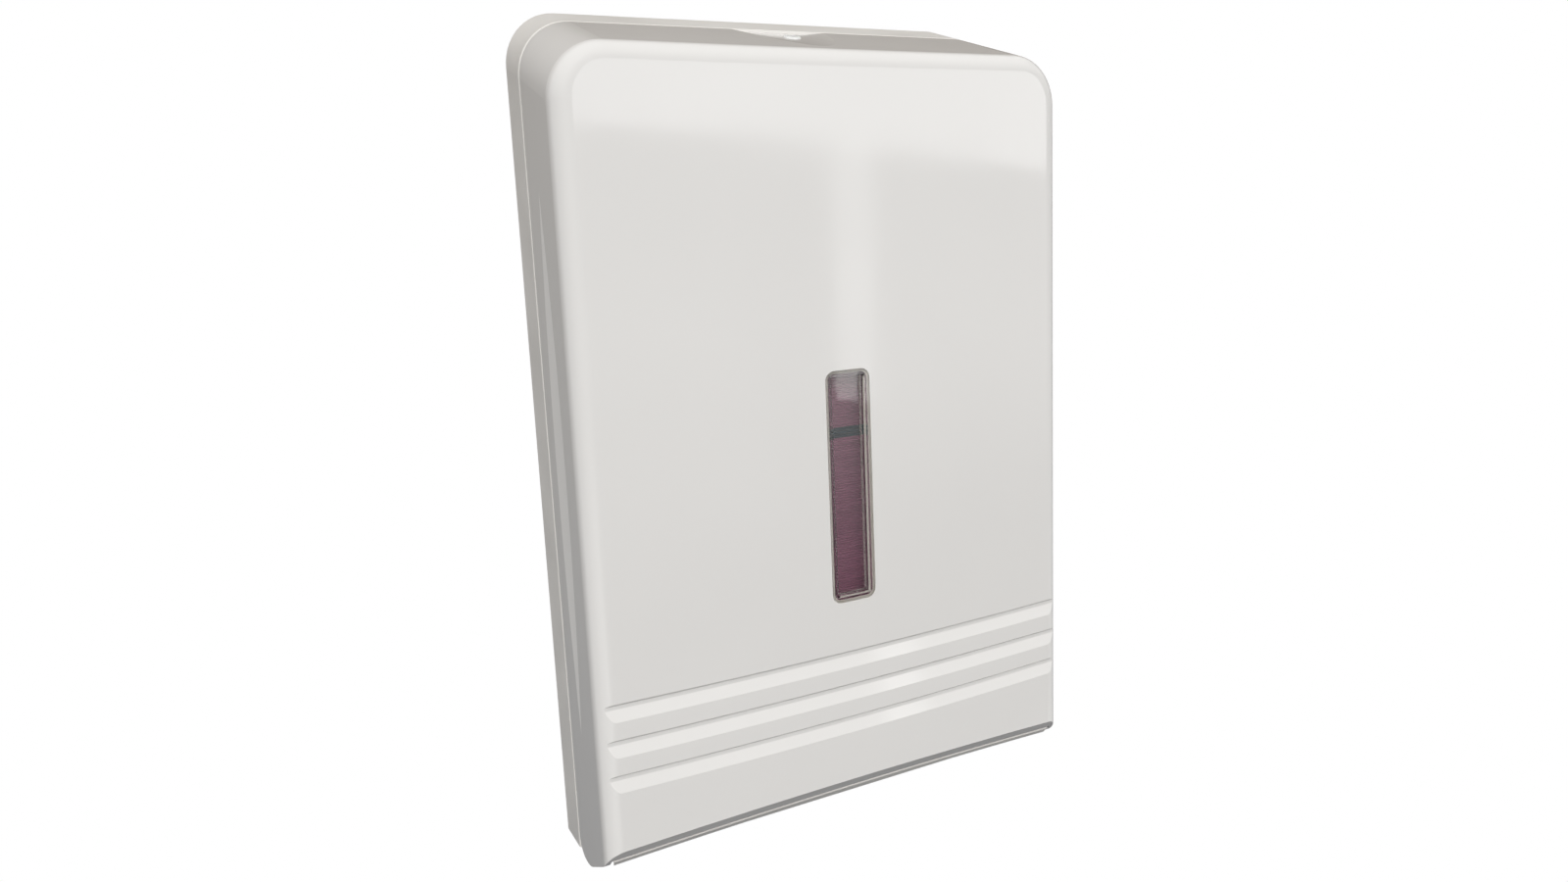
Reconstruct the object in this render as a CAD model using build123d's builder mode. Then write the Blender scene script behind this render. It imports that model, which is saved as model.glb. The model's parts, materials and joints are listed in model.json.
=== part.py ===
"""Wall-mounted folded-towel dispenser: back housing, hinged cover, window, lock, outlet tray and towels.

Millimetres. The wall is the plane y = 0, the front faces -Y, X runs to the right and Z up.
The origin is on the wall, in the middle of the four screw holes.
"""

import os
from math import asin, atan, cos, degrees, radians, sin, sqrt, tan

from build123d import *

os.makedirs("parts", exist_ok=True)

# Overall size of the closed dispenser
WIDTH = 266.0
HEIGHT = 426.0
DEPTH = 89.0

# Moulded body form
WALL = 3.0
TOP_SLOPE = radians(18.6)
SIDE_DRAFT = radians(0.73)
TOP_CORNER = 25.0
FRONT_ROUND = 9.5
BOW_RADIUS = 2400.0
FORM_BELOW = 30.0
FORM_BASE = -HEIGHT / 2 - FORM_BELOW
FORM_SPARE = 20.0
FORM_DEPTH = DEPTH + FORM_SPARE

# Parting plane between the back housing and the front cover
PARTING = 27.5
PARTING_GAP = 0.7
HOUSING_EDGE = 1.2
COVER_EDGE = 0.6

# Lower end of the body, seen from the side
HINGE_Y = -37.0
HINGE_Z = -199.0
KNUCKLE = -HINGE_Y - PARTING - PARTING_GAP
HEEL_Z = HINGE_Z - KNUCKLE
TOE_BEND_Y = -46.0
TOE_BEND_RADIUS = 30.0
MOUTH_BEND_Y = -77.3
MOUTH_BEND_RADIUS = 20.0
MOUTH_SLOPE = 1.2
MOUTH_BACK_Y = -68.0
MOUTH_Z = -174.5

# Thick rim inside the cover's bevelled lower edge
RIM_DEPTH = 5.3
RIM_TOP = -163.0
RIM_TAPER = 4.0
RIM_ROOT = WALL - 1.0
RIM_HALF = 127.5

# Three moulded grooves across the front
GROOVE_Z = [-106.7, -124.0, -141.2]
GROOVE_DEPTH = 1.5
GROOVE_STEEP = 0.9
GROOVE_FLOOR = 2.2
GROOVE_RAMP = 5.8
GROOVE_HALF = 131.0

# Finger scoops in the cover's sides
SCOOP_FRONT = 60.3
SCOOP_BACK = 42.2
SCOOP_TIP = 50.5
SCOOP_TOP = 126.0
SCOOP_BOTTOM = -136.0
SCOOP_MIDDLE = (SCOOP_TOP + SCOOP_BOTTOM) / 2
SCOOP_DEPTH = 3.6
SCOOP_FACETS = 8
SCOOP_PAD = 2.4
SCOOP_PAD_EDGE = 3.0

# Window
WINDOW_LOW = -80.0
WINDOW_HIGH = 35.6
WINDOW_WIDTH = 23.8
WINDOW_CORNER = 4.8
WINDOW_Z = (WINDOW_LOW + WINDOW_HIGH) / 2
WINDOW_HEIGHT = WINDOW_HIGH - WINDOW_LOW
LENS_WALL = 1.4
LENS_PROUD = 0.5
LENS_EDGE = 0.4
LENS_SEAT = 1.0
LENS_FLANGE = 1.4
LENS_RECESS = 3.3
LENS_TAIL = 6.2
LENS_FIT = 0.2
LENS_TAB_REACH = 0.6
LENS_TAB_HALF = 4.0

# Shallow thumb trough in the cover's top, with the lock in it
TROUGH_WIDTH = 54.0
TROUGH_DROP = 1.4
TROUGH_FADE = 4.0
TROUGH_PAD = 4.5
TROUGH_PAD_HALF = 32.0
TROUGH_PAD_CORNER = 5.0
TROUGH_PAD_BACK = 30.0
TROUGH_PAD_FRONT = 60.0

# Key lock, square to the sloping top
LOCK_DEPTH = 44.0
BARREL_RADIUS = 4.5
BARREL_TOP = -0.2
BARREL_EDGE = 0.6
BARREL_SQUARE = 5.0
KEY_SLOT = 1.6
KEY_SLOT_LENGTH = 5.8
LOCK_RUNNING = 0.05
LOCK_HOLE = 4.8
SLEEVE_LENGTH = 34.0
SLEEVE_WIDTH = 16.0
SLEEVE_CORNER = 4.0
SLEEVE_BODY_RADIUS = 7.2
SLEEVE_FLANGE = 2.0
SLEEVE_SCREW_X = 10.5
SLEEVE_SCREW_LENGTH = 5.0
SLEEVE_PILOT = 6.0
SLEEVE_TOP = -WALL - TROUGH_PAD
SLEEVE_BOTTOM = -13.2
CAM_TOP = -13.5
CAM_BOTTOM = -16.0
CAM_HUB = 6.0
CAM_ARM = 3.5
CAM_REACH = 26.5
CAM_HOOK = 22.0
CAM_HOOK_SIDE = 10.0
CAM_SCREW_HEAD = 4.5
CAM_SCREW_LENGTH = 7.0
CAM_PILOT = 8.0
POST_NEAR = 16.5
POST_FAR = 20.5
POST_INNER = 4.2
POST_TOP = -4.6
POST_MIDDLE_X = -(CAM_HOOK_SIDE + POST_INNER) / 2
KEEPER_FOOT_NEAR = 18.2
KEEPER_FOOT_FAR = 34.0
KEEPER_FOOT_HALF = 8.0
KEEPER_FOOT_THICK = 2.0
KEEPER_LOW = -18.0
KEEPER_SCREW_V = [24.5, 30.5]
KEEPER_SCREW_LENGTH = 4.0
KEEPER_PILOT = 4.4

# Hinge at both lower corners
PIN_RADIUS = 2.5
PIN_RUNNING = 0.05
BUSH_RADIUS = 4.0
LUG_RADIUS = 7.0
LUG_ROOT_Y = -4.0
LUG_SHELF_Y = -26.0
LUG_INNER = 112.0
LUG_OUTER = 120.0
BOSS_INNER = 120.4
BUSH_COLLAR = 1.2
BUSH_COLLAR_RADIUS = 5.5
PIN_INNER = 110.0
PIN_OUTER = 129.6
PIN_CHAMFER = 0.5

# Outlet tray
TRAY_TOP = -184.0
TRAY_PLATE = 2.5
TRAY_LIP_TOP = -180.0
TRAY_LIP = 2.8
TRAY_LIP_DROP = 0.5
TRAY_SETBACK = 6.0
TRAY_HALF = 127.8
SLOT_LENGTH = 200.0
SLOT_WIDTH = 28.0
SLOT_Y = -44.0
SLOT_COLLAR = 9.0
SLOT_COLLAR_WALL = 2.0
TRAY_SCREW_X = 117.0
TRAY_SCREW_Y = -20.0
TRAY_SCREW_LENGTH = 9.0
TRAY_PILOT = 10.0

# Back housing
REAR_RECESS = 3.0
REAR_WALL = 2.5
REAR_INNER = REAR_RECESS + REAR_WALL
REAR_RIM = 8.0
RIB = 2.0
HOUSING_FLOOR_Z = -HEIGHT / 2 + 4.0
HOUSING_FLOOR_RISE = 4.0
HOUSING_HEEL_Z = HEEL_Z - 0.6
WALL_HOLE_STEP_X = 170.0
WALL_HOLE_STEP_Z = 240.0
WALL_HOLE = 2.75
WALL_BOSS = 16.0
LAP_THICK = 1.2
LAP_GAP = 0.35
LAP_REACH = 5.5
LAP_LOW = -150.0
LAP_TOP_GAP = 36.0
LAP_ROOT = 6.0

# Side guides for the towels
GUIDE_FACE = 113.0
GUIDE_THICK = 2.0
GUIDE_LOW = -150.0
GUIDE_HIGH = 120.0
GUIDE_DEPTH = 66.0
GUIDE_FOOT = 8.5
GUIDE_CORNER = 10.0
GUIDE_SLOT_LENGTH = 106.0
GUIDE_SLOT_WIDTH = 30.0
GUIDE_SLOT_CORNER = 8.0
GUIDE_SLOT_STEP = 126.0
GUIDE_SCREW_X = GUIDE_FACE + GUIDE_THICK + GUIDE_FOOT / 2
GUIDE_SCREW_Z = [-115.0, 85.0]
GUIDE_SCREW_LENGTH = 6.0
GUIDE_PILOT = 6.5
GUIDE_BOSS = 11.0

# Folded towels, as loaded
TOWEL_HALF = 112.2
TOWEL_BACK = -6.0
TOWEL_FRONT = -77.0
TOWEL_LOW = TRAY_TOP
BAND_LOW = 0.1
BAND_HIGH = 5.3
TOWEL_HIGH = 118.0

# Small screws
SCREW_SHANK = 1.5
SCREW_HOLE = 1.6
SCREW_HEAD = 2.8
SCREW_HEAD_HIGH = 1.6
HEAD_SIDES = 12
SHANK_SIDES = 8

BOW_CENTRE = -DEPTH + BOW_RADIUS
BOW_AXIS = Axis((0, BOW_CENTRE, 0), (0, 0, 1))
SIDES = {"left": -1, "right": 1}


def roof(depth, inset=0.0):
    """Height of the sloping top at a distance from the wall, moved in by inset."""
    return HEIGHT / 2 - depth * tan(TOP_SLOPE) - inset / cos(TOP_SLOPE)


def half_width(depth, inset=0.0):
    """Half the drafted width at a distance from the wall, moved in by inset."""
    return WIDTH / 2 - depth * tan(SIDE_DRAFT) - inset


# Plane on the sloping top at the lock: its Z is the lock's axis, its Y runs up the slope to the wall
LOCK_PLANE = Plane(
    origin=(0, -LOCK_DEPTH, roof(LOCK_DEPTH)),
    x_dir=(1, 0, 0),
    z_dir=(0, -sin(TOP_SLOPE), cos(TOP_SLOPE)),
)
LOCK_AXIS = Axis(LOCK_PLANE.origin, LOCK_PLANE.z_dir)


def drafted_block(inset, near, far):
    """Slice of the body between two distances from the wall, without its rounded front."""
    back = -FORM_SPARE
    front = FORM_DEPTH
    with BuildPart() as block:
        with BuildSketch(Plane.YZ):
            with BuildLine():
                Polyline(
                    (-back, FORM_BASE),
                    (-back, roof(back, inset)),
                    (-front, roof(front, inset)),
                    (-front, FORM_BASE),
                    close=True,
                )
            make_face()
        extrude(amount=WIDTH, both=True)
        with BuildSketch(Plane.XY.offset(FORM_BASE)):
            with BuildLine():
                Polyline(
                    (-half_width(back, inset), -back),
                    (-half_width(front, inset), -front),
                    (half_width(front, inset), -front),
                    (half_width(back, inset), -back),
                    close=True,
                )
            make_face()
        extrude(amount=HEIGHT + WIDTH, mode=Mode.INTERSECT)
        across = block.faces().sort_by(Axis.Z)[-1].edges().group_by(Axis.X)
        fillet(across[0] + across[-1], TOP_CORNER - inset)
        with BuildSketch(Plane.XZ.offset(near)):
            Rectangle(2 * WIDTH, 4 * HEIGHT)
        extrude(amount=far - near, mode=Mode.INTERSECT)
    return block.part


def body_form(inset=0.0):
    """Closed body: drafted sides, sloping top and bowed front with rounded edges, or bevelled ones inside."""
    far = WIDTH / 2 + WALL
    bow = BOW_RADIUS - inset
    shoulder = BOW_CENTRE - sqrt(bow**2 - far**2)
    with BuildPart() as form:
        add(drafted_block(inset, 0, FORM_DEPTH))
        with BuildSketch(Plane.XY.offset(FORM_BASE)):
            with BuildLine():
                ThreePointArc((-far, shoulder), (0, inset - DEPTH), (far, shoulder))
                Polyline((far, shoulder), (far, 0), (-far, 0), (-far, shoulder))
            make_face()
        extrude(amount=HEIGHT + WIDTH, mode=Mode.INTERSECT)
        front_edges = form.faces().sort_by(Axis.Y)[0].edges().sort_by(Axis.Z)[1:]
        if inset:
            chamfer(front_edges, inset)
        else:
            fillet(front_edges, FRONT_ROUND)
    return form.part


def under_line(y, lower=0.0):
    """Height of the bevelled mouth at a place on the Y axis, moved down by lower."""
    return MOUTH_Z - MOUTH_SLOPE * (y + DEPTH) - lower


def bowed_bar(section, half_length):
    """Bar with a section of (distance behind the front, height) points, bent to the bow of the front."""
    with BuildPart() as bar:
        with BuildSketch(Plane.YZ):
            with BuildLine():
                Polyline(*[(back - DEPTH, z) for back, z in section], close=True)
            make_face()
        revolve(axis=BOW_AXIS, revolution_arc=degrees(asin(half_length / BOW_RADIUS)))
        mirror(about=Plane.YZ)
    return bar.part


def groove(z):
    """One groove: a short steep upper wall, a floor and a long lower ramp, drawn proud of the front."""
    proud = 1.0
    ramp = GROOVE_RAMP / GROOVE_DEPTH
    section = [
        (-proud, z + GROOVE_STEEP + proud),
        (GROOVE_DEPTH, z - GROOVE_STEEP / 2),
        (GROOVE_DEPTH, z - GROOVE_FLOOR),
        (-proud, z - GROOVE_FLOOR - GROOVE_RAMP - ramp * proud),
    ]
    return bowed_bar(section, GROOVE_HALF)


def mouth_cut(lower=0.0):
    """What lies below the bevelled mouth, moved down by lower."""
    with BuildPart() as cut:
        with BuildSketch(Plane.YZ):
            with BuildLine():
                Polyline(
                    (-FORM_DEPTH, under_line(-FORM_DEPTH, lower)),
                    (MOUTH_BACK_Y, under_line(MOUTH_BACK_Y, lower)),
                    (MOUTH_BACK_Y, FORM_BASE),
                    (-FORM_DEPTH, FORM_BASE),
                    close=True,
                )
            make_face()
        extrude(amount=WIDTH, both=True)
    return cut.part


def scoop_lens(front, back):
    """Pointed lens outline of a scoop on the YZ plane, between two distances from the wall."""
    with BuildSketch() as lens:
        with BuildLine():
            low = (-SCOOP_TIP, SCOOP_BOTTOM)
            high = (-SCOOP_TIP, SCOOP_TOP)
            ThreePointArc(low, (-front, SCOOP_MIDDLE), high)
            ThreePointArc(high, (-back, SCOOP_MIDDLE), low)
        make_face()
    return lens.sketch


def finger_scoop():
    """Right-hand scoop: its faceted floor dips from the back to a curved catch edge in front."""
    pitch = SCOOP_DEPTH / (SCOOP_FRONT - SCOOP_BACK)
    half_length = (SCOOP_TOP - SCOOP_BOTTOM) / 2
    rise = pitch * (SCOOP_TIP - SCOOP_BACK) / half_length**2
    facet = 2 * half_length / (SCOOP_FACETS - 1)
    stations = [facet * (i - SCOOP_FACETS / 2) for i in range(SCOOP_FACETS + 1)]
    tilt = atan(pitch) + SIDE_DRAFT
    back_point = (half_width(SCOOP_BACK), -SCOOP_BACK, SCOOP_MIDDLE)
    with BuildPart() as scoop:
        with BuildSketch(Plane(origin=back_point, x_dir=(0, 0, 1), z_dir=(-sin(tilt), -cos(tilt), 0))):
            with BuildLine():
                Polyline(
                    (stations[0], -WIDTH / 2),
                    *[(along, -rise * along**2) for along in stations],
                    (stations[-1], -WIDTH / 2),
                    close=True,
                )
            make_face()
        extrude(amount=2 * (SCOOP_FRONT - SCOOP_BACK))
        with BuildSketch(Plane.YZ):
            add(scoop_lens(SCOOP_FRONT, SCOOP_BACK - SCOOP_PAD_EDGE))
        extrude(amount=WIDTH, mode=Mode.INTERSECT)
    return scoop.part


def thumb_trough():
    """Long shallow cylinder cut down the middle of the cover's top, fading out at its front rounding."""
    radius = (TROUGH_WIDTH**2 / 4 + TROUGH_DROP**2) / (2 * TROUGH_DROP)
    fade_depth = DEPTH - FRONT_ROUND - TROUGH_FADE
    start = Vector(0, -PARTING, roof(PARTING) - TROUGH_DROP)
    along = (Vector(0, -fade_depth, roof(fade_depth)) - start).normalized()
    above = along.cross(Vector(1, 0, 0))
    with BuildPart() as trough:
        axis_start = start + above * radius - along * TROUGH_FADE
        with BuildSketch(Plane(origin=axis_start, x_dir=(1, 0, 0), z_dir=along)):
            Circle(radius)
        extrude(amount=fade_depth)
    return trough.part


def housing_hollow():
    """Inside of the back housing, down to its sloping floor."""
    with BuildPart() as hollow:
        add(drafted_block(WALL, REAR_INNER, PARTING))
        with BuildSketch(Plane.YZ):
            with BuildLine():
                Polyline(
                    (-REAR_INNER, HOUSING_FLOOR_Z),
                    (-REAR_INNER, HEIGHT),
                    (-PARTING, HEIGHT),
                    (-PARTING, HOUSING_FLOOR_Z + HOUSING_FLOOR_RISE),
                    close=True,
                )
            make_face()
        extrude(amount=WIDTH, both=True, mode=Mode.INTERSECT)
    return hollow.part


def lap_ring():
    """Lip inside the housing's front edge that the cover slips over, left out at the lock and the hinges."""
    inner = WALL + LAP_GAP + LAP_THICK
    with BuildPart() as ring:
        add(drafted_block(WALL - LAP_GAP, PARTING - LAP_ROOT, PARTING))
        add(drafted_block(WALL + LAP_GAP, PARTING, PARTING + LAP_REACH))
        add(drafted_block(inner, PARTING - 2 * LAP_ROOT, PARTING + 2 * LAP_ROOT), mode=Mode.SUBTRACT)
        with BuildSketch(Plane.XZ):
            with Locations((0, HEIGHT / 2)):
                Rectangle(2 * LAP_TOP_GAP, HEIGHT / 2)
            with Locations((0, LAP_LOW)):
                Rectangle(2 * WIDTH, HEIGHT, align=(Align.CENTER, Align.MAX))
        extrude(amount=DEPTH, mode=Mode.SUBTRACT)
    return ring.part


def small_screws(planes, length, head=SCREW_HEAD):
    """Screws whose heads stand on planes and whose shanks go down from there, with facets for round sides."""
    with BuildPart() as screws:
        with BuildSketch(*planes):
            RegularPolygon(head, HEAD_SIDES)
        extrude(amount=SCREW_HEAD_HIGH)
        with BuildSketch(*planes):
            RegularPolygon(SCREW_SHANK, SHANK_SIDES)
        extrude(amount=-length)
    return screws.part


def screw_holes(planes, depth):
    """Holes that go down from planes and take the screws' shanks."""
    with BuildPart() as holes:
        with BuildSketch(*planes):
            RegularPolygon(SCREW_HOLE, SHANK_SIDES)
        extrude(amount=-depth)
    return holes.part


def lock_face(x, v, n, facing):
    """Plane at a point of the lock's own axes, facing up (1) or down (-1) the lock's axis."""
    origin = LOCK_PLANE.from_local_coords((x, v, n))
    return Plane(origin=origin, x_dir=(1, 0, 0), z_dir=LOCK_PLANE.z_dir * facing)


def tray_screw_planes():
    """Where the tray is screwed down on the housing's hinge lugs."""
    return [Plane(origin=(side * TRAY_SCREW_X, TRAY_SCREW_Y, TRAY_TOP)) for side in SIDES.values()]


def guide_screw_planes(side):
    """Where one towel guide is screwed to the housing's back."""
    x = side * GUIDE_SCREW_X
    front = -REAR_INNER - GUIDE_THICK
    return [Plane(origin=(x, front, z), x_dir=(1, 0, 0), z_dir=(0, -1, 0)) for z in GUIDE_SCREW_Z]


def keeper_screw_planes():
    """Where the lock's keeper is screwed up against the housing's top."""
    low = -WALL - KEEPER_FOOT_THICK
    return [lock_face(POST_MIDDLE_X, v, low, -1) for v in KEEPER_SCREW_V]


def sleeve_screw_planes():
    """Where the lock's sleeve is screwed up against the cover's pad."""
    return [lock_face(side * SLEEVE_SCREW_X, 0, SLEEVE_TOP - SLEEVE_FLANGE, -1) for side in SIDES.values()]


# Back housing: shallow tray with a ribbed back, hinge lugs, screw bosses and a lap for the cover
with BuildPart() as back_housing:
    add(drafted_block(0, 0, PARTING))
    with BuildSketch(Plane.YZ):
        with BuildLine():
            Polyline(
                (0, -HEIGHT / 2),
                (0, HEIGHT),
                (-DEPTH, HEIGHT),
                (-DEPTH, HOUSING_HEEL_Z),
                (-PARTING, HOUSING_HEEL_Z),
                close=True,
            )
        make_face()
    extrude(amount=WIDTH, both=True, mode=Mode.INTERSECT)
    parting_face = back_housing.faces().sort_by(Axis.Y)[0]
    chamfer(parting_face.edges().sort_by(Axis.Z)[1:], HOUSING_EDGE)
    add(housing_hollow(), mode=Mode.SUBTRACT)
    # Pockets in the back, between ribs that run through the screw bosses
    with BuildSketch(Plane.XZ):
        RectangleRounded(WIDTH - 2 * REAR_RIM, HEIGHT - 2 * REAR_RIM, TOP_CORNER - REAR_RIM)
        with GridLocations(WALL_HOLE_STEP_X / 2, 0, 3, 1):
            Rectangle(RIB, HEIGHT, mode=Mode.SUBTRACT)
        with GridLocations(0, WALL_HOLE_STEP_Z / 2, 1, 3):
            Rectangle(WIDTH, RIB, mode=Mode.SUBTRACT)
        with GridLocations(WALL_HOLE_STEP_X, WALL_HOLE_STEP_Z, 2, 2):
            Rectangle(WALL_BOSS, WALL_BOSS, mode=Mode.SUBTRACT)
        with Locations(*[(side * GUIDE_SCREW_X, z) for side in SIDES.values() for z in GUIDE_SCREW_Z]):
            Rectangle(GUIDE_BOSS, GUIDE_BOSS, mode=Mode.SUBTRACT)
    extrude(amount=REAR_RECESS, mode=Mode.SUBTRACT)
    add(lap_ring())
    # Hinge lugs, which also carry the outlet tray
    for side in SIDES.values():
        with BuildSketch(Plane.YZ.offset(side * (LUG_INNER + LUG_OUTER) / 2)):
            with BuildLine():
                Polyline(
                    (LUG_ROOT_Y, TRAY_TOP - TRAY_PLATE),
                    (LUG_SHELF_Y, TRAY_TOP - TRAY_PLATE),
                    (HINGE_Y, HINGE_Z + LUG_RADIUS),
                    (HINGE_Y, HINGE_Z - LUG_RADIUS),
                    (LUG_ROOT_Y, HINGE_Z - LUG_RADIUS),
                    close=True,
                )
            make_face()
            with Locations((HINGE_Y, HINGE_Z)):
                Circle(LUG_RADIUS)
                Circle(BUSH_RADIUS, mode=Mode.SUBTRACT)
        extrude(amount=(LUG_OUTER - LUG_INNER) / 2, both=True)
    with Locations(Plane.XZ.offset(REAR_INNER)):
        with GridLocations(WALL_HOLE_STEP_X, WALL_HOLE_STEP_Z, 2, 2):
            Hole(WALL_HOLE)
    add(screw_holes(tray_screw_planes(), TRAY_PILOT), mode=Mode.SUBTRACT)
    add(screw_holes(guide_screw_planes(-1) + guide_screw_planes(1), GUIDE_PILOT), mode=Mode.SUBTRACT)
    add(screw_holes(keeper_screw_planes(), KEEPER_PILOT), mode=Mode.SUBTRACT)
back_housing.part.label = "back_housing"
export_step(back_housing.part, "parts/back_housing.step")

# Front cover: glossy shell with a bowed front, three grooves, finger scoops, window seat and lock trough
with BuildPart() as front_cover:
    add(body_form())
    with BuildSketch(Plane.XZ.offset(PARTING + PARTING_GAP)):
        Rectangle(2 * WIDTH, 4 * HEIGHT)
    extrude(amount=DEPTH, mode=Mode.INTERSECT)
    parting_face = front_cover.faces().sort_by(Axis.Y)[-1]
    chamfer(parting_face.edges().sort_by(Axis.Z)[1:], COVER_EDGE)
    # Lower end: round about the hinge, a toe that rises to the front and a steeper bevelled mouth
    with BuildSketch(Plane.YZ):
        with BuildLine():
            Polyline(
                (-PARTING - PARTING_GAP, HEIGHT),
                (-PARTING - PARTING_GAP, HEEL_Z),
                (TOE_BEND_Y, HEEL_Z),
                (MOUTH_BEND_Y, under_line(MOUTH_BEND_Y)),
                (-FORM_DEPTH, under_line(-FORM_DEPTH)),
                (-FORM_DEPTH, HEIGHT),
                close=True,
            )
        make_face()
        for corner, radius in (
            ((-PARTING - PARTING_GAP, HEEL_Z), KNUCKLE),
            ((TOE_BEND_Y, HEEL_Z), TOE_BEND_RADIUS),
            ((MOUTH_BEND_Y, under_line(MOUTH_BEND_Y)), MOUTH_BEND_RADIUS),
        ):
            fillet(vertices().sort_by_distance(corner)[0], radius)
    extrude(amount=WIDTH, both=True, mode=Mode.INTERSECT)
    add(body_form(WALL), mode=Mode.SUBTRACT)
    # Thick lower rim that carries the bevel
    rim = [
        (RIM_ROOT, FORM_BASE),
        (RIM_DEPTH, FORM_BASE),
        (RIM_DEPTH, RIM_TOP - RIM_TAPER),
        (RIM_ROOT, RIM_TOP),
    ]
    add(bowed_bar(rim, RIM_HALF))
    add(mouth_cut(), mode=Mode.SUBTRACT)
    for z in GROOVE_Z:
        add(groove(z), mode=Mode.SUBTRACT)
    # Finger scoops, with the wall thickened behind them
    for side in SIDES.values():
        with BuildSketch(Plane.YZ.offset(side * (half_width(SCOOP_FRONT, WALL) - SCOOP_PAD))):
            add(scoop_lens(SCOOP_FRONT + SCOOP_PAD_EDGE, SCOOP_BACK - SCOOP_PAD_EDGE))
        extrude(amount=side * (SCOOP_PAD + WALL / 2))
    scoop = finger_scoop()
    add(scoop, mode=Mode.SUBTRACT)
    add(scoop.mirror(Plane.YZ), mode=Mode.SUBTRACT)
    # Window seat and opening
    with BuildSketch(Plane.XZ.offset(DEPTH - LENS_SEAT)):
        with Locations((0, WINDOW_Z)):
            fit = 2 * LENS_FIT
            RectangleRounded(WINDOW_WIDTH + fit, WINDOW_HEIGHT + fit, WINDOW_CORNER + LENS_FIT)
    extrude(amount=2 * LENS_SEAT, mode=Mode.SUBTRACT)
    with BuildSketch(Plane.XZ.offset(DEPTH - 2 * WALL)):
        with Locations((0, WINDOW_Z)):
            edge = 2 * (LENS_FLANGE - LENS_FIT)
            RectangleRounded(WINDOW_WIDTH - edge, WINDOW_HEIGHT - edge, WINDOW_CORNER - LENS_FLANGE)
    extrude(amount=2 * WALL, mode=Mode.SUBTRACT)
    # Pad under the top, thumb trough and lock hole
    pad_front = (LOCK_DEPTH - TROUGH_PAD_FRONT) / cos(TOP_SLOPE)
    pad_back = (LOCK_DEPTH - TROUGH_PAD_BACK) / cos(TOP_SLOPE)
    with BuildSketch(LOCK_PLANE.offset(SLEEVE_TOP)):
        with Locations((0, (pad_front + pad_back) / 2)):
            RectangleRounded(2 * TROUGH_PAD_HALF, pad_back - pad_front, TROUGH_PAD_CORNER)
    extrude(amount=TROUGH_PAD + WALL / 4)
    add(thumb_trough(), mode=Mode.SUBTRACT)
    with BuildSketch(LOCK_PLANE.offset(SLEEVE_TOP - WALL)):
        Circle(LOCK_HOLE)
    extrude(amount=5 * WALL, mode=Mode.SUBTRACT)
    add(screw_holes(sleeve_screw_planes(), SLEEVE_PILOT), mode=Mode.SUBTRACT)
    # Hinge bosses with blind bores for the pins
    for side in SIDES.values():
        wall_inside = side * (half_width(-HINGE_Y) - WALL / 2)
        with BuildSketch(Plane.YZ.offset(wall_inside)):
            with Locations((HINGE_Y, HINGE_Z)):
                RegularPolygon(LUG_RADIUS, HEAD_SIDES)
        extrude(amount=side * BOSS_INNER - wall_inside)
        with BuildSketch(Plane.YZ.offset(side * PIN_OUTER)):
            with Locations((HINGE_Y, HINGE_Z)):
                Circle(PIN_RADIUS)
        extrude(amount=side * (BOSS_INNER - PIN_OUTER), mode=Mode.SUBTRACT)
front_cover.part.label = "front_cover"
export_step(front_cover.part, "parts/front_cover.step")

# Window lens: clear tray with a proud rim, a recessed pane and snap tabs behind the cover
with BuildPart() as window_lens:
    with BuildSketch(Plane.XZ.offset(DEPTH - LENS_SEAT)):
        with Locations((0, WINDOW_Z)):
            RectangleRounded(WINDOW_WIDTH, WINDOW_HEIGHT, WINDOW_CORNER)
    extrude(amount=LENS_SEAT + LENS_PROUD)
    chamfer(window_lens.faces().sort_by(Axis.Y)[0].edges(), LENS_EDGE)
    edge = 2 * LENS_FLANGE
    body_corner = WINDOW_CORNER - LENS_FLANGE - LENS_FIT
    with BuildSketch(Plane.XZ.offset(DEPTH - LENS_TAIL)):
        with Locations((0, WINDOW_Z)):
            RectangleRounded(WINDOW_WIDTH - edge, WINDOW_HEIGHT - edge, body_corner)
    extrude(amount=LENS_TAIL - LENS_SEAT)
    hollow = 2 * (LENS_FLANGE + LENS_WALL)
    pane_front = DEPTH + LENS_PROUD - LENS_RECESS
    for plane, reach in (
        (Plane.XZ.offset(pane_front), LENS_RECESS),
        (Plane.XZ.offset(DEPTH - LENS_TAIL), pane_front - LENS_WALL - DEPTH + LENS_TAIL),
    ):
        with BuildSketch(plane):
            with Locations((0, WINDOW_Z)):
                Rectangle(WINDOW_WIDTH - hollow, WINDOW_HEIGHT - hollow)
        extrude(amount=reach, mode=Mode.SUBTRACT)
    # Snap tabs above and below, behind the cover's wall
    for end in (-1, 1):
        tab_root = WINDOW_Z + end * (WINDOW_HEIGHT / 2 - LENS_FLANGE - LENS_WALL / 2)
        tab_tip = WINDOW_Z + end * (WINDOW_HEIGHT / 2 + LENS_TAB_REACH)
        with BuildSketch(Plane.YZ):
            with BuildLine():
                Polyline(
                    (WALL + LENS_FIT - DEPTH, tab_root),
                    (WALL + LENS_FIT - DEPTH, tab_tip),
                    (LENS_TAIL - DEPTH, tab_root + end * LENS_WALL / 2),
                    (LENS_TAIL - DEPTH, tab_root),
                    close=True,
                )
            make_face()
        extrude(amount=LENS_TAB_HALF, both=True)
window_lens.part.label = "window_lens"
export_step(window_lens.part, "parts/window_lens.step")

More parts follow.
